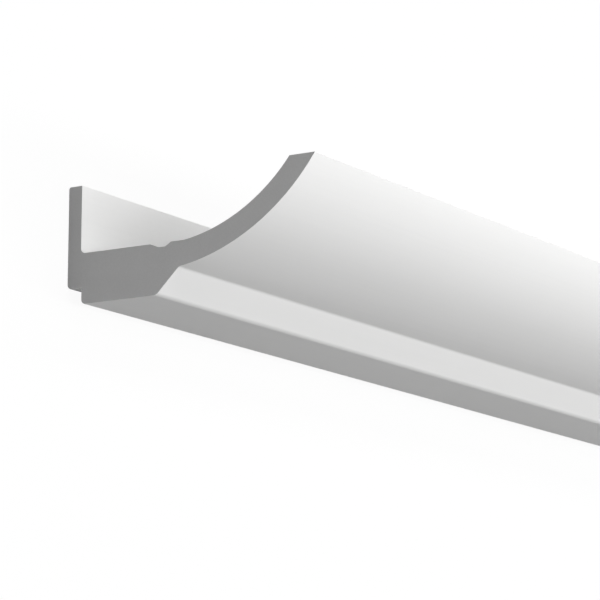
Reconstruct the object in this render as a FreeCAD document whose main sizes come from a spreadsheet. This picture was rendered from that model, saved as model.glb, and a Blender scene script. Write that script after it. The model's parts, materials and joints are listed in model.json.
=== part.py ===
"""Cornice moulding for indirect lighting: one straight extruded length, all in one piece.

A wall flange and a thick base carry a lip that sweeps out and up in front of the light
trough. The length lies on its wall face. X runs along the length, Y towards the top edges
of the fitted moulding and Z outwards from the wall. The origin is the middle of the wall
face. All sizes are in millimetres.
"""

import FreeCAD, Part
import math
import os

import Sketcher
from FreeCAD import Vector

# Driving sizes: name, value in mm, what it measures.
SIZES = [
    ("stock_length", 2000.0, "length of one piece as sold"),
    ("profile_height", 60.0, "underside of the base to the top edges"),
    ("reach", 143.9, "wall face to the lip's front corner, before rounding"),
    ("flange_thickness", 8.0, "wall flange, front to back"),
    ("base_thickness", 25.7, "underside of the base to the trough floor"),
    ("rebate_depth", 8.5, "rebate under the flange, measured from the wall"),
    ("rebate_height", 8.2, "rebate under the flange, measured from the underside"),
    ("nose_depth", 53.3, "wall face to the front edge of the underside"),
    ("bevel_run", 13.3, "bevel from the underside to the lip, outwards"),
    ("bevel_rise", 12.8, "bevel from the underside to the lip, upwards"),
    ("groove_setback", 49.6, "wall face to the near rim of the strip groove"),
    ("groove_width", 12.2, "strip groove, rim to rim"),
    ("groove_depth", 2.0, "strip groove below the trough floor"),
    ("groove_near_slope", 5.0, "width of the groove's slope on the wall side"),
    ("groove_far_slope", 3.4, "width of the groove's slope on the lip side"),
    ("ledge_width", 7.4, "flat between the groove and the lip"),
    ("lip_tip_width", 14.4, "flat top edge of the lip"),
    ("lip_inner_radius", 93.5, "face of the lip towards the trough"),
    ("lip_outer_radius", 113.5, "face of the lip towards the room"),
    ("back_round", 2.5, "rounding of the two lower edges at the back"),
    ("nose_round", 5.0, "rounding between the underside and the bevel"),
    ("trough_round", 2.5, "rounding between the flange and the trough floor"),
    ("root_round", 3.5, "rounding between the bevel and the lip"),
    ("groove_round", 1.2, "rounding of the groove's rims and floor"),
    ("top_round", 1.2, "rounding of the flange's top edge at the wall"),
    ("arris_round", 0.15, "rounding of the remaining crisp edges"),
]

# Corners of the section in order round it, from the wall face's lower edge.
CORNERS = [
    "wall_low",
    "wall_high",
    "flange_tip",
    "trough_corner",
    "groove_near",
    "groove_floor_near",
    "groove_floor_far",
    "groove_far",
    "lip_start",
    "lip_tip_inner",
    "lip_tip_outer",
    "lip_root",
    "nose",
    "base_back",
    "rebate_corner",
]

# The section's sides, each from its first corner to its second.
SIDES = list(zip(CORNERS, CORNERS[1:] + CORNERS[:1]))

# Sides that run straight out from the wall, and sides parallel to it, by first corner.
SIDES_OUTWARDS = [
    "wall_high",
    "trough_corner",
    "groove_floor_near",
    "groove_far",
    "lip_tip_inner",
    "nose",
    "rebate_corner",
]
SIDES_PARALLEL_TO_WALL = ["wall_low", "flange_tip", "base_back"]

# Distances between corners across the height: lower corner, upper corner, size.
HEIGHTS = [
    ("base_back", "wall_high", "profile_height"),
    ("base_back", "rebate_corner", "rebate_height"),
    ("base_back", "trough_corner", "base_thickness"),
    ("nose", "lip_root", "bevel_rise"),
    ("groove_floor_near", "groove_near", "groove_depth"),
]

# Distances out from the wall: nearer corner, farther corner, size.
DEPTHS = [
    ("wall", "flange_tip", "flange_thickness"),
    ("wall", "rebate_corner", "rebate_depth"),
    ("wall", "nose", "nose_depth"),
    ("nose", "lip_root", "bevel_run"),
    ("wall", "groove_near", "groove_setback"),
    ("groove_near", "groove_far", "groove_width"),
    ("groove_near", "groove_floor_near", "groove_near_slope"),
    ("groove_floor_far", "groove_far", "groove_far_slope"),
    ("groove_far", "lip_start", "ledge_width"),
    ("wall", "lip_tip_outer", "reach"),
    ("lip_tip_inner", "lip_tip_outer", "lip_tip_width"),
]

# Which radius bends the side between which corners.
ARCS = [
    ("lip_start", "lip_tip_inner", "lip_inner_radius"),
    ("lip_tip_outer", "lip_root", "lip_outer_radius"),
]

# Which radius rounds which corners.
ROUNDINGS = [
    ("back_round", ["wall_low", "base_back"]),
    ("nose_round", ["nose"]),
    ("trough_round", ["trough_corner"]),
    ("root_round", ["lip_root"]),
    ("groove_round", ["groove_near", "groove_floor_near", "groove_floor_far", "groove_far"]),
    ("top_round", ["wall_high"]),
    ("arris_round", ["flange_tip", "lip_tip_inner", "lip_tip_outer", "rebate_corner"]),
]

START, END = 1, 2
ORIGIN = (-1, START)
NEAR = 1e-4


def make_sheet(doc):
    """Spreadsheet with one row for each driving size."""
    sheet = doc.addObject("Spreadsheet::Sheet", "Sizes")
    for row, (name, value, note) in enumerate(SIZES, start=1):
        sheet.set(f"A{row}", name)
        sheet.set(f"B{row}", str(value))
        sheet.set(f"C{row}", note)
        sheet.setAlias(f"B{row}", name)
    doc.recompute()
    return sheet


def corner_points(sheet):
    """Where each corner of the section lies, as (Y, Z), before any rounding."""
    top = (sheet.profile_height - sheet.rebate_height) / 2
    under = top - sheet.profile_height
    floor = under + sheet.base_thickness
    groove_end = sheet.groove_setback + sheet.groove_width
    return {
        "wall_low": (-top, 0),
        "wall_high": (top, 0),
        "flange_tip": (top, sheet.flange_thickness),
        "trough_corner": (floor, sheet.flange_thickness),
        "groove_near": (floor, sheet.groove_setback),
        "groove_floor_near": (
            floor - sheet.groove_depth,
            sheet.groove_setback + sheet.groove_near_slope,
        ),
        "groove_floor_far": (
            floor - sheet.groove_depth,
            groove_end - sheet.groove_far_slope,
        ),
        "groove_far": (floor, groove_end),
        "lip_start": (floor, groove_end + sheet.ledge_width),
        "lip_tip_inner": (top, sheet.reach - sheet.lip_tip_width),
        "lip_tip_outer": (top, sheet.reach),
        "lip_root": (under + sheet.bevel_rise, sheet.nose_depth + sheet.bevel_run),
        "nose": (under, sheet.nose_depth),
        "base_back": (under, sheet.rebate_depth),
        "rebate_corner": (-top, sheet.rebate_depth),
    }


def arc_between(start, end, radius):
    """Arc of a given radius through two points, bulging away from the trough."""
    a, b = Vector(*start, 0), Vector(*end, 0)
    chord = b - a
    middle = (a + b) / 2
    towards_trough = Vector(chord.y, -chord.x, 0).normalize()
    if towards_trough.x < 0:
        towards_trough = -towards_trough
    offset = math.sqrt(radius**2 - (chord.Length / 2) ** 2)
    centre = middle + towards_trough * offset
    bulge = centre - towards_trough * radius
    return Part.Arc(a, bulge, b)


def draw_outline(sketch, sheet):
    """Closed outline through all corners. Returns each side's number by its first corner."""
    points = corner_points(sheet)
    radii = {(first, second): getattr(sheet, size) for first, second, size in ARCS}
    sides = {}
    for first, second in SIDES:
        if (first, second) in radii:
            curve = arc_between(points[first], points[second], radii[first, second])
        else:
            curve = Part.LineSegment(Vector(*points[first], 0), Vector(*points[second], 0))
        sides[first] = sketch.addGeometry(curve, False)
    return sides


def end_at(sketch, side, point):
    """Which end of a side lies at a point."""
    return min((START, END), key=lambda end: sketch.getPoint(side, end).distanceToPoint(point))


def join_corners(sketch, sides, sheet):
    """Makes the two sides at each corner meet. Returns the end that stands for each corner."""
    points = corner_points(sheet)
    handles = {"wall": ORIGIN}
    for before, corner in SIDES:
        point = Vector(*points[corner], 0)
        arriving = (sides[before], end_at(sketch, sides[before], point))
        leaving = (sides[corner], end_at(sketch, sides[corner], point))
        sketch.addConstraint(Sketcher.Constraint("Coincident", *arriving, *leaving))
        handles[corner] = leaving
    return handles


def bind(sketch, kind, places, size):
    """A dimension that follows its size in the sheet."""
    value = getattr(sketch.Document.Sizes, size)
    number = sketch.addConstraint(Sketcher.Constraint(kind, *places, value))
    sketch.renameConstraint(number, size)
    sketch.setExpression(f"Constraints.{size}", f"Sizes.{size}")


def constrain_outline(sketch, sides, sheet):
    """Fixes every corner of the outline from the sheet's sizes.

    The sketch's own X axis is the part's Y, its Y axis the part's Z.
    """
    at = join_corners(sketch, sides, sheet)
    for name in SIDES_OUTWARDS:
        sketch.addConstraint(Sketcher.Constraint("Vertical", sides[name]))
    for name in SIDES_PARALLEL_TO_WALL:
        sketch.addConstraint(Sketcher.Constraint("Horizontal", sides[name]))
    for level in (("groove_near", "groove_far"), ("wall_high", "lip_tip_inner")):
        sketch.addConstraint(Sketcher.Constraint("Vertical", *at[level[0]], *at[level[1]]))
    wall_ends = (*at["wall_low"], *at["wall_high"])
    sketch.addConstraint(Sketcher.Constraint("Symmetric", *wall_ends, *ORIGIN))
    for first, second, size in HEIGHTS:
        bind(sketch, "DistanceX", (*at[first], *at[second]), size)
    for first, second, size in DEPTHS:
        bind(sketch, "DistanceY", (*at[first], *at[second]), size)
    for first, _, size in ARCS:
        bind(sketch, "Radius", (sides[first],), size)


def origin_plane(body, role):
    """One of the body's own origin planes."""
    return next(f for f in body.Origin.OriginFeatures if f.Role == role)


def add_section(body, sheet):
    """Sketch of the section, square to the length."""
    sketch = body.newObject("Sketcher::SketchObject", "Section")
    sketch.AttachmentSupport = [(origin_plane(body, "YZ_Plane"), "")]
    sketch.MapMode = "FlatFace"
    sides = draw_outline(sketch, sheet)
    constrain_outline(sketch, sides, sheet)
    body.Document.recompute()
    if sketch.solve() != 0 or not sketch.FullyConstrained:
        raise RuntimeError("the section isn't fixed by its sizes")
    return sketch


def add_length(body, sketch):
    """The section drawn out to both sides of the middle."""
    pad = body.newObject("PartDesign::Pad", "Length")
    pad.Profile = sketch
    pad.SideType = "Symmetric"
    pad.setExpression("Length", "Sizes.stock_length")
    body.Document.recompute()
    return pad


def edges_at(shape, corners):
    """Names of the edges that run along the length through the given (Y, Z) corners."""
    names = []
    for number, edge in enumerate(shape.Edges, start=1):
        ends = [v.Point for v in edge.Vertexes]
        for y, z in corners:
            if all(math.hypot(p.y - y, p.z - z) < NEAR for p in ends):
                names.append(f"Edge{number}")
    return names


def add_roundings(body, solid, sheet):
    """One fillet feature for each radius."""
    points = corner_points(sheet)
    for size, corners in ROUNDINGS:
        names = edges_at(solid.Shape, [points[c] for c in corners])
        if len(names) != len(corners):
            raise RuntimeError(f"{size} found {len(names)} edges for {len(corners)} corners")
        fillet = body.newObject("PartDesign::Fillet", size.title().replace("_", ""))
        fillet.Base = (solid, names)
        fillet.setExpression("Radius", f"Sizes.{size}")
        body.Document.recompute()
        solid = fillet
    return solid


def make_moulding(doc, sheet):
    """The whole moulding: section, length and rounded edges."""
    body = doc.addObject("PartDesign::Body", "CorniceMoulding")
    body.Label = "cornice_moulding"
    sketch = add_section(body, sheet)
    pad = add_length(body, sketch)
    body.Tip = add_roundings(body, pad, sheet)
    return body


def check_document(doc, pieces):
    """Stops on any failed feature or bad solid."""
    for item in doc.Objects:
        if {"Invalid", "Error"} & set(item.State):
            raise RuntimeError(f"{item.Label} failed: {item.State}")
    for piece in pieces:
        if piece.Shape.isNull() or not piece.Shape.isValid():
            raise RuntimeError(f"{piece.Label} has no valid shape")


def main():
    doc = FreeCAD.newDocument("CorniceMoulding")
    sheet = make_sheet(doc)
    pieces = [make_moulding(doc, sheet)]
    doc.recompute()
    check_document(doc, pieces)
    os.makedirs("parts", exist_ok=True)
    for piece in pieces:
        piece.Shape.exportStep(os.path.join("parts", piece.Label + ".step"))
        box = piece.Shape.BoundBox
        centre = piece.Shape.Solids[0].CenterOfMass
        print(piece.Label, "size", round(box.XLength, 3), round(box.YLength, 3), round(box.ZLength, 3))
        print("volume in litres", round(piece.Shape.Volume / 1e6, 4))
        print("centre of mass", [round(c, 2) for c in centre])


main()
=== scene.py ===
"""Looks of a cornice moulding for indirect light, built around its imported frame.

The length lies on its wall face: X runs along it, Y towards its ceiling edge, Z out from
the wall. All sizes are in metres.
"""

import json
import math

import bpy
from mathutils import Matrix, Quaternion, Vector

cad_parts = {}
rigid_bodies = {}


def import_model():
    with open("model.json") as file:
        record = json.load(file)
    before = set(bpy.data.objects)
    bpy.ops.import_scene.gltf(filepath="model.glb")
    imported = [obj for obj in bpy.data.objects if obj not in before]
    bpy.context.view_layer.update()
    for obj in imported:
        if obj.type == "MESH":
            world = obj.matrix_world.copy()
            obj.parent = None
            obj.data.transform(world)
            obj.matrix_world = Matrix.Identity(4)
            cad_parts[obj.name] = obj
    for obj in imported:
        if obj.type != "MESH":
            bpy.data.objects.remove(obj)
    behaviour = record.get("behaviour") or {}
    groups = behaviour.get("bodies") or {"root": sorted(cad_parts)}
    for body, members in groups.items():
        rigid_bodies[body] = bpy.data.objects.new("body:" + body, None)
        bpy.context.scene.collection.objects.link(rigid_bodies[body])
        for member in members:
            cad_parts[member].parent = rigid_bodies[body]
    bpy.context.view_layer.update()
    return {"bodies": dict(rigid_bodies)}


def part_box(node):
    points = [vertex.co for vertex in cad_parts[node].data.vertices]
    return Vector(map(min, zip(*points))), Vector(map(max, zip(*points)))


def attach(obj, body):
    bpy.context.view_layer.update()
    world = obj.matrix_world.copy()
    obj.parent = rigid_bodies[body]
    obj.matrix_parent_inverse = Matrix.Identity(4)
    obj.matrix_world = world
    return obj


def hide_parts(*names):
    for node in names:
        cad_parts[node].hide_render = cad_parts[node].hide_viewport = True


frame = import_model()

NODE = "cornice_moulding"
BODY = next(iter(frame["bodies"]))

# The section, measured from the wall face (out) and from the underside of the base (up).
LOW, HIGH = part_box(NODE)
HEIGHT = HIGH.y - LOW.y
FLANGE = 0.008
BASE = 0.0257
REBATE_OUT, REBATE_UP = 0.0085, 0.0082
NOSE_OUT = 0.0533
ROOT_OUT, ROOT_UP = 0.0666, 0.0128
GROOVE_START, GROOVE_END = 0.0496, 0.0618
GROOVE_DEPTH = 0.0020
GROOVE_NEAR_SLOPE, GROOVE_FAR_SLOPE = 0.0050, 0.0034
LIP_START = 0.0692
REACH = 0.1439
TIP_WIDTH = 0.0144
LIP_INNER_RADIUS, LIP_OUTER_RADIUS = 0.0935, 0.1135

# Radii of its rounded corners. The one at the lip's start softens a slight bend.
BACK_ROUND = 0.0025
NOSE_ROUND = 0.0050
TROUGH_ROUND = 0.0025
ROOT_ROUND = 0.0035
GROOVE_ROUND = 0.0012
TOP_ROUND = 0.0012
ARRIS_ROUND = 0.00015
LIP_START_ROUND = 0.0060

# Each corner of the section in order: out, up, rounding, radius of the side that follows.
STRAIGHT = None
SECTION = [
    (0, REBATE_UP, BACK_ROUND, STRAIGHT),
    (0, HEIGHT, TOP_ROUND, STRAIGHT),
    (FLANGE, HEIGHT, ARRIS_ROUND, STRAIGHT),
    (FLANGE, BASE, TROUGH_ROUND, STRAIGHT),
    (GROOVE_START, BASE, GROOVE_ROUND, STRAIGHT),
    (GROOVE_START + GROOVE_NEAR_SLOPE, BASE - GROOVE_DEPTH, GROOVE_ROUND, STRAIGHT),
    (GROOVE_END - GROOVE_FAR_SLOPE, BASE - GROOVE_DEPTH, GROOVE_ROUND, STRAIGHT),
    (GROOVE_END, BASE, GROOVE_ROUND, STRAIGHT),
    (LIP_START, BASE, LIP_START_ROUND, LIP_INNER_RADIUS),
    (REACH - TIP_WIDTH, HEIGHT, ARRIS_ROUND, STRAIGHT),
    (REACH, HEIGHT, ARRIS_ROUND, LIP_OUTER_RADIUS),
    (ROOT_OUT, ROOT_UP, ROOT_ROUND, STRAIGHT),
    (NOSE_OUT, 0, NOSE_ROUND, STRAIGHT),
    (REBATE_OUT, 0, BACK_ROUND, STRAIGHT),
    (REBATE_OUT, REBATE_UP, ARRIS_ROUND, STRAIGHT),
]
LIP_CENTRE_SIDE = Vector((-1, 1))

# How finely the lip's arcs, the rounded corners and the eased edges of the cut ends are drawn.
CURVE_STEP = 0.0015
ROUNDING_STEPS = 8
CUT_ARRIS_ROUND = 0.0001
CUT_ARRIS_STEPS = 3


def turned_left(direction):
    """A direction of the section turned by a quarter, towards the outside of the solid."""
    return Vector((-direction.y, direction.x))


def arc_centre(start, end, radius):
    """Centre of the arc between two corners, on the trough's side of its chord."""
    half = (end - start) / 2
    side = turned_left(half).normalized()
    if side.dot(LIP_CENTRE_SIDE) < 0:
        side = -side
    return start + half + side * math.sqrt(radius**2 - half.length_squared)


class Side:
    """One side of the section: a straight run, or an arc about a centre."""

    def __init__(self, start, end, radius):
        self.start, self.end, self.radius = start, end, radius
        if radius:
            self.centre = arc_centre(start, end, radius)
            self.sweep = (start - self.centre).angle_signed(end - self.centre)
            self.length = abs(self.sweep) * radius
        else:
            self.length = (end - start).length

    def at(self, distance):
        """The point and the direction of travel at a distance along the side."""
        if not self.radius:
            direction = (self.end - self.start) / self.length
            return self.start + direction * distance, direction
        turn = Matrix.Rotation(-self.sweep * distance / self.length, 2)
        arm = turn @ (self.start - self.centre)
        ahead = turned_left(arm).normalized()
        return self.centre + arm, ahead if self.sweep < 0 else -ahead

    def points(self, first, last):
        """Points with outward normals between two distances, both included."""
        steps = math.ceil((last - first) / CURVE_STEP) if self.radius else 1
        for step in range(steps + 1):
            point, ahead = self.at(first + (last - first) * step / steps)
            yield point, turned_left(ahead)


def corner_turn(before, after):
    """Signed angle by which the outline turns from one side to the next."""
    arriving = before.at(before.length)[1]
    leaving = after.at(0)[1]
    return math.atan2(arriving.x * leaving.y - arriving.y * leaving.x, arriving.dot(leaving))


def rounding(start, ahead, turn, radius):
    """Inner points, with outward normals, of the arc that rounds a corner."""
    towards_centre = turned_left(ahead) * math.copysign(1, turn)
    centre = start + towards_centre * radius
    for step in range(1, ROUNDING_STEPS):
        swing = Matrix.Rotation(turn * step / ROUNDING_STEPS, 2)
        yield centre + swing @ (start - centre), turned_left(swing @ ahead)


def section_outline():
    """The rounded outline as (point, outward normal), the points as (out, up)."""
    corners = [Vector((out, up)) for out, up, _, _ in SECTION]
    radii = [radius for _, _, radius, _ in SECTION]
    bends = [bend for _, _, _, bend in SECTION]
    sides = [Side(*ends) for ends in zip(corners, corners[1:] + corners[:1], bends)]
    turns = [corner_turn(sides[i - 1], sides[i]) for i in range(len(sides))]
    setbacks = [r * math.tan(abs(t) / 2) for r, t in zip(radii, turns)]
    outline = []
    for i, side in enumerate(sides):
        after = (i + 1) % len(sides)
        last = side.length - setbacks[after]
        outline += side.points(setbacks[i], last)
        point, ahead = side.at(last)
        outline += rounding(point, ahead, turns[after], radii[after])
    return outline


def rings(outline):
    """Rings of points with normals along the length, each cut edge eased by a tiny round."""
    shares = [step / CUT_ARRIS_STEPS for step in range(CUT_ARRIS_STEPS + 1)]
    for end, sign, turns in ((LOW.x, -1, reversed(shares)), (HIGH.x, 1, shares)):
        for turn in turns:
            across = math.cos(math.pi / 2 * turn)
            along = math.sin(math.pi / 2 * turn)
            inset = CUT_ARRIS_ROUND * (1 - across)
            x = end - sign * CUT_ARRIS_ROUND * (1 - along)
            ring = []
            for point, normal in outline:
                out, up = point - normal * inset
                ring.append((
                    Vector((x, LOW.y + up, out)),
                    Vector((sign * along, normal.y * across, normal.x * across)),
                ))
            yield ring


def build_moulding():
    """The moulding as one closed mesh with exact normals. Material 1 is on the cut ends."""
    outline = section_outline()
    loops = list(rings(outline))
    count = len(outline)
    vertices = [point for ring in loops for point, _ in ring]
    normals = [normal for ring in loops for _, normal in ring]
    faces = []
    for first in range(0, len(vertices) - count, count):
        for i in range(count):
            j = (i + 1) % count
            faces.append((first + i, first + j, first + count + j, first + count + i))
    first_cap = len(faces)
    faces.append(tuple(reversed(range(count))))
    faces.append(tuple(range(len(vertices) - count, len(vertices))))
    mesh = bpy.data.meshes.new("cornice_moulding_finish")
    mesh.from_pydata(vertices, [], faces)
    mesh.validate()
    mesh.materials.append(primer_material())
    mesh.materials.append(shaded_cut_end_material())
    for face in mesh.polygons:
        face.use_smooth = True
        face.material_index = 1 if face.index >= first_cap else 0
    mesh.normals_split_custom_set_from_vertices(normals)
    return bpy.data.objects.new("cornice_moulding_finish", mesh)


class Nodes:
    """The nodes of a material or world, with short calls that add and join them."""

    def __init__(self, owner):
        owner.use_nodes = True
        self.tree = owner.node_tree

    def node(self, kind, **settings):
        """A new node with its settings."""
        made = self.tree.nodes.new(kind)
        for key, value in settings.items():
            setattr(made, key, value)
        return made

    def join(self, output, socket):
        self.tree.links.new(output, socket)

    def scaled(self, value, share, plus=0.0):
        """The value times a share, plus an amount or another output."""
        term = self.node("ShaderNodeMath", operation="MULTIPLY_ADD")
        self.join(value, term.inputs[0])
        term.inputs[1].default_value = share
        if isinstance(plus, float):
            term.inputs[2].default_value = plus
        else:
            self.join(plus, term.inputs[2])
        return term.outputs[0]

    def seen(self):
        """1 for rays from the camera, from gloss and through glass, else 0."""
        rays = self.node("ShaderNodeLightPath")
        seen = rays.outputs["Is Camera Ray"]
        for name in ("Is Glossy Ray", "Is Transmission Ray"):
            either = self.node("ShaderNodeMath", operation="MAXIMUM")
            self.join(seen, either.inputs[0])
            self.join(rays.outputs[name], either.inputs[1])
            seen = either.outputs[0]
        return seen


# Patterns on the two surfaces: their sizes across and along the moulding.
PRIMER_MOTTLE = 0.05, 0.09
PRIMER_LINES = 0.0022, 0.25
PRIMER_GRAIN = 0.0011, 0.0011
CUT_MOTTLE = 0.02, 0.02
CUT_CELLS = 0.0009, 0.0009

# The range that most of a pattern lies in.
PATTERN_LOW, PATTERN_HIGH = 0.25, 0.75

# What the patterns vary: two tones, the range of roughness and the depth of the relief.
PRIMER_TONES = (0.845, 0.845, 0.84), (0.875, 0.875, 0.87)
PRIMER_ROUGHNESS = 0.7, 0.8
PRIMER_RELIEF = 0.00002
# Painted shade: the cut ends' grey tones darken the end faces as shade would; the foamed core
# itself is white.
CUT_END_SHADE_TONES = (0.535, 0.535, 0.535), (0.575, 0.575, 0.575)
CUT_ROUGHNESS = 0.8, 0.9
CUT_RELIEF = 0.00003
REFLECTION = 0.35


class Finish(Nodes):
    """A material with patterns on object coordinates."""

    def __init__(self, name):
        self.material = bpy.data.materials.new(name)
        super().__init__(self.material)
        self.shader = self.tree.nodes["Principled BSDF"]
        self.place = self.node("ShaderNodeTexCoord").outputs["Object"]

    def sizes(self, across, along):
        """Coordinates in which a pattern of size 1 is so many metres across and along."""
        mapping = self.node("ShaderNodeMapping")
        mapping.inputs["Scale"].default_value = (1 / along, 1 / across, 1 / across)
        self.join(self.place, mapping.inputs["Vector"])
        return mapping.outputs["Vector"]

    def noise(self, across, along, detail=2.0):
        """Soft noise, 0 to 1, with blotches of this size."""
        noise = self.node("ShaderNodeTexNoise")
        noise.inputs["Scale"].default_value = 1
        noise.inputs["Detail"].default_value = detail
        self.join(self.sizes(across, along), noise.inputs["Vector"])
        return noise.outputs["Fac"]

    def cells(self, across, along):
        """Distance from the middle of round cells of this size."""
        cells = self.node("ShaderNodeTexVoronoi")
        cells.inputs["Scale"].default_value = 1
        self.join(self.sizes(across, along), cells.inputs["Vector"])
        return cells.outputs["Distance"]

    def blend(self, *shares):
        """Sum of (pattern, share) pairs."""
        total = 0.0
        for pattern, share in shares:
            total = self.scaled(pattern, share, total)
        return total

    def spread(self, pattern, low, high, first=PATTERN_LOW, last=PATTERN_HIGH):
        """The pattern's range from first to last mapped to low and high."""
        spread = self.node("ShaderNodeMapRange")
        spread.inputs["From Min"].default_value = first
        spread.inputs["From Max"].default_value = last
        spread.inputs["To Min"].default_value = low
        spread.inputs["To Max"].default_value = high
        self.join(pattern, spread.inputs["Value"])
        return spread.outputs["Result"]

    def colour(self, share, first, second):
        """Base colour that goes from the first tone to the second with the share."""
        mix = self.node("ShaderNodeMix", data_type="RGBA")
        self.join(share, mix.inputs["Factor"])
        mix.inputs["A"].default_value = (*first, 1)
        mix.inputs["B"].default_value = (*second, 1)
        self.join(mix.outputs["Result"], self.shader.inputs["Base Color"])

    def gloss(self, pattern, low, high):
        """Roughness that follows a pattern, with the weak reflection of a matt surface."""
        self.join(self.spread(pattern, low, high), self.shader.inputs["Roughness"])
        self.shader.inputs["Specular IOR Level"].default_value = REFLECTION

    def relief(self, pattern, height):
        """Bump of this height in metres."""
        bump = self.node("ShaderNodeBump")
        bump.inputs["Distance"].default_value = height
        self.join(pattern, bump.inputs["Height"])
        self.join(bump.outputs["Normal"], self.shader.inputs["Normal"])


def primer_material():
    """Matt white factory primer: faint mottling, drawn lines along it and a fine grain."""
    finish = Finish("white_primer")
    mottle = finish.noise(*PRIMER_MOTTLE, detail=3)
    lines = finish.noise(*PRIMER_LINES)
    grain = finish.noise(*PRIMER_GRAIN)
    pattern = finish.blend((mottle, 0.5), (lines, 0.3), (grain, 0.2))
    finish.colour(finish.spread(pattern, 0, 1), *PRIMER_TONES)
    finish.gloss(mottle, *PRIMER_ROUGHNESS)
    finish.relief(finish.blend((grain, 0.6), (lines, 0.4)), PRIMER_RELIEF)
    return finish.material


def shaded_cut_end_material():
    """The square-cut end of the foamed core, with fine closed cells; its grey is painted shade
    that darkens the end, as the core itself is white.
    """
    finish = Finish("cut_end")
    mottle = finish.noise(*CUT_MOTTLE)
    cells = finish.cells(*CUT_CELLS)
    pattern = finish.blend((mottle, 0.6), (cells, 0.4))
    finish.colour(finish.spread(pattern, 0, 1), *CUT_END_SHADE_TONES)
    finish.gloss(cells, *CUT_ROUGHNESS)
    finish.relief(cells, CUT_RELIEF)
    return finish.material


# The floor's tone for bounced light and its tone as seen. The floor itself gives off part of
# the white that is seen: FLOOR_GLOW of it up to GLOW_NEAR from the moulding's middle, and all
# of it from GLOW_FAR on, where no lamp reaches.
FLOOR_BOUNCE = 0.43, 0.43, 0.43
FLOOR_SEEN = 0.8, 0.8, 0.8
FLOOR_GLOW = 0.94
GLOW_NEAR, GLOW_FAR = 1.0, 4.0
FLOOR_REACH = 40
FLOOR_GAP = 0.0001


def floor_material():
    """Plain white, evenly white to the camera but for the moulding's soft shadow."""
    finish = Finish("floor")
    shader = finish.shader
    shader.inputs["Roughness"].default_value = 1
    shader.inputs["Specular IOR Level"].default_value = 0
    seen = finish.seen()
    finish.colour(seen, FLOOR_BOUNCE, FLOOR_SEEN)
    distance = finish.node("ShaderNodeVectorMath", operation="LENGTH")
    finish.join(finish.place, distance.inputs[0])
    rise = finish.spread(distance.outputs["Value"], FLOOR_GLOW, 1, GLOW_NEAR, GLOW_FAR)
    share = finish.node("ShaderNodeMath", operation="MULTIPLY")
    finish.join(rise, share.inputs[0])
    finish.join(seen, share.inputs[1])
    glow = finish.node("ShaderNodeEmission")
    mix = finish.node("ShaderNodeMixShader")
    finish.join(share.outputs[0], mix.inputs[0])
    finish.join(shader.outputs[0], mix.inputs[1])
    finish.join(glow.outputs[0], mix.inputs[2])
    finish.join(mix.outputs[0], finish.tree.nodes["Material Output"].inputs["Surface"])
    return finish.material


def add_floor():
    """A plain floor, a hair below the wall face that the moulding lies on."""
    mesh = bpy.data.meshes.new("floor")
    ends = (-FLOOR_REACH, FLOOR_REACH)
    corners = [(x, y, LOW.z - FLOOR_GAP) for y in ends for x in ends]
    mesh.from_pydata(corners, [], [(0, 1, 3, 2)])
    mesh.materials.append(floor_material())
    floor = bpy.data.objects.new("floor", mesh)
    bpy.context.collection.objects.link(floor)


# Long soft strips over the moulding: name, lean towards the ceiling edge in degrees, power in
# watts.
LIGHTS = [
    ("front", -10, 118),
    ("front_high", 4, 28),
    ("ceiling_side", 28, 59),
    ("ceiling_low", 80, 20),
]
LIGHT_LENGTH, LIGHT_WIDTH = 7.0, 0.5
LIGHT_DISTANCE = 3.0

# The sky's strength for the light that it gives, and as it is seen.
SKY_FILL = 0.01
SKY_SEEN = 1.0


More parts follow.
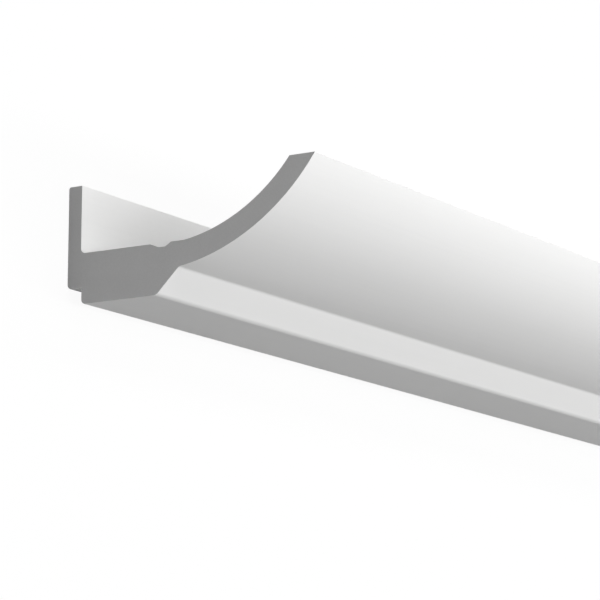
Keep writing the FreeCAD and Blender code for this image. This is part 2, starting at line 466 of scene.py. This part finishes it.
def add_strip_light(name, lean, power):
    """One strip light along the moulding, facing the middle of its length."""
    data = bpy.data.lights.new(name, "AREA")
    data.shape = "RECTANGLE"
    data.size, data.size_y = LIGHT_LENGTH, LIGHT_WIDTH
    data.energy = power
    light = bpy.data.objects.new(name, data)
    angle = math.radians(lean)
    away = Vector((0, math.sin(angle), math.cos(angle)))
    along = Vector((1, 0, 0))
    light.location = Vector((0, 0, HIGH.z / 2)) + away * LIGHT_DISTANCE
    light.rotation_mode = "QUATERNION"
    axes = Matrix((along, away.cross(along), away)).transposed()
    light.rotation_quaternion = axes.to_quaternion()
    light.visible_camera = False
    bpy.context.collection.objects.link(light)


def add_world():
    """A white sky to the camera, and a weak even fill light to the moulding."""
    world = bpy.data.worlds.new("studio")
    bpy.context.scene.world = world
    nodes = Nodes(world)
    background = nodes.tree.nodes["Background"]
    background.inputs["Color"].default_value = (1, 1, 1, 1)
    strength = nodes.scaled(nodes.seen(), SKY_SEEN - SKY_FILL, SKY_FILL)
    nodes.join(strength, background.inputs["Strength"])


# The photo's camera, placed from the near end of the moulding as it hangs on its wall.
SENSOR_WIDTH = 36
PHOTO_WIDTH = 600
FOCAL_PIXELS = 3000
CAMERA_FROM_WALL = 0.87178
CAMERA_BELOW_BASE = 0.28078
CAMERA_BEFORE_END = 1.16783
TURN_TO_WALL = math.radians(32.2205)
TILT_UP = math.radians(11.0704)
ROLL = math.radians(0.2113)


def add_camera():
    """The photo's view: up along the moulding from its near end, a little below it."""
    data = bpy.data.cameras.new("photo_camera")
    data.sensor_width = SENSOR_WIDTH
    data.lens = SENSOR_WIDTH * FOCAL_PIXELS / PHOTO_WIDTH
    camera = bpy.data.objects.new("photo_camera", data)
    bpy.context.collection.objects.link(camera)
    ahead = Vector((
        math.cos(TILT_UP) * math.cos(TURN_TO_WALL),
        math.sin(TILT_UP),
        -math.cos(TILT_UP) * math.sin(TURN_TO_WALL),
    ))
    right = ahead.cross(Vector((0, 1, 0))).normalized()
    axes = Matrix((right, right.cross(ahead), -ahead)).transposed()
    camera.rotation_mode = "QUATERNION"
    camera.rotation_quaternion = axes.to_quaternion() @ Quaternion((0, 0, 1), ROLL)
    camera.location = (LOW.x - CAMERA_BEFORE_END, LOW.y - CAMERA_BELOW_BASE, CAMERA_FROM_WALL)
    bpy.context.scene.camera = camera


bpy.context.scene.view_settings.view_transform = "Standard"
add_camera()
moulding = build_moulding()
bpy.context.collection.objects.link(moulding)
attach(moulding, BODY)
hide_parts(NODE)
add_floor()
add_world()
for strip in LIGHTS:
    add_strip_light(*strip)
